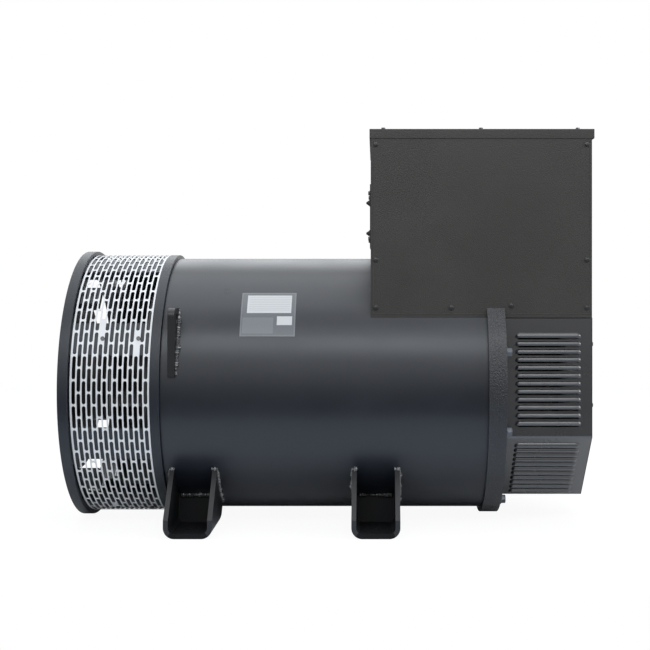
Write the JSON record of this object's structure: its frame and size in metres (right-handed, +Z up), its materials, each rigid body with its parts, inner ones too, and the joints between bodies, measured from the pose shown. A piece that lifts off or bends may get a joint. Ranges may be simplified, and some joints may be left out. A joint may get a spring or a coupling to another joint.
{
  "type": "generator alternator",
  "caption": "Foot-mounted brushless generator alternator with a cast engine flange, slotted outlet screen, louvred air inlet cover and a tall terminal box on top.",
  "frame": {"origin": "centre of the engine flange face on the shaft line", "axes": "+X along the shaft from the engine flange to the free end, +Z up out of the terminal box lid, -Y towards the side with the rating plate"},
  "size_m": [1.3754, 0.74, 1.0171],
  "materials": {
    "body_paint": "semi-gloss charcoal paint on rolled steel",
    "box_paint": "satin charcoal paint on folded sheet",
    "cast_paint": "sand-cast iron under charcoal paint",
    "zinc_sheet": "bright zinc-plated perforated sheet",
    "steel": "machined steel",
    "lamination": "stacked laminations, edge on",
    "copper": "varnished copper coil ends",
    "fan_metal": "as-cast aluminium",
    "plate_metal": "satin foil",
    "board": "moulded polyester",
    "potting": "potted resin",
    "rubber": "moulded rubber",
    "carrier": "glass-cloth laminate",
    "black_screw": "painted over hexagon head"
  },
  "bodies": {
    "frame": {"access_plate": "box_paint", "bearing_cap_outer": "steel", "bearing_outer_race": "steel", "blanking_plug": "rubber", "box_de_panel": "box_paint", "box_floor": "box_paint", "box_lid": "box_paint", "box_nde_panel": "box_paint", "box_rails": "body_paint", "box_side_back": "box_paint", "box_side_front": "box_paint", "bracket_bolts": "steel", "cable_cones": "rubber", "core_bars": "body_paint", "cover_bottom": "box_paint", "cover_end_plate": "box_paint", "de_bracket": "cast_paint", "exciter_stator": "lamination", "foot_de_back": "body_paint", "foot_de_front": "body_paint", "foot_nde_back": "body_paint", "foot_nde_front": "body_paint", "frame_shell": "body_paint", "lifting_lug_back": "body_paint", "lifting_lug_front": "body_paint", "louvre_panel_back": "box_paint", "louvre_panel_front": "box_paint", "nde_bolts": "black_screw", "nde_bracket": "cast_paint", "nde_frame_ring": "cast_paint", "outlet_screen_back": "zinc_sheet", "outlet_screen_bottom": "zinc_sheet", "outlet_screen_front": "zinc_sheet", "outlet_screen_lower_back": "zinc_sheet", "outlet_screen_lower_front": "zinc_sheet", "outlet_screen_top": "zinc_sheet", "outlet_screen_upper_corners": "zinc_sheet", "rating_plate": "plate_metal", "screen_screws": "steel", "sheet_screws": "black_screw", "stator_core": "lamination", "terminal_board": "board", "terminal_studs": "steel", "voltage_regulator": "potting", "winding_overhang_de": "copper", "winding_overhang_nde": "copper"},
    "rotor": {"shaft": "steel", "rotor_core": "lamination", "field_coils": "copper", "fan": "fan_metal", "coupling_hub": "steel", "coupling_discs": "steel", "disc_clamp_ring": "steel", "clamp_bolts": "black_screw", "exciter_rotor": "lamination", "rectifier_disc": "carrier", "rectifier_diodes": "steel", "bearing_inner_race": "steel"},
    "ball_set": {"bearing_balls": "steel", "bearing_cage": "steel"}
  },
  "joints": [
    {"name": "rotor_spin", "type": "hinge", "parent": "frame", "child": "rotor", "pos_m": [0, 0, 0], "axis": [1, 0, 0], "continuous": true},
    {"name": "ball_set_spin", "type": "hinge", "parent": "frame", "child": "ball_set", "pos_m": [0, 0, 0], "axis": [1, 0, 0], "continuous": true}
  ],
  "couplings": [
    {"joint": "ball_set_spin", "follows": "rotor_spin", "ratio": 0.39286}
  ]
}
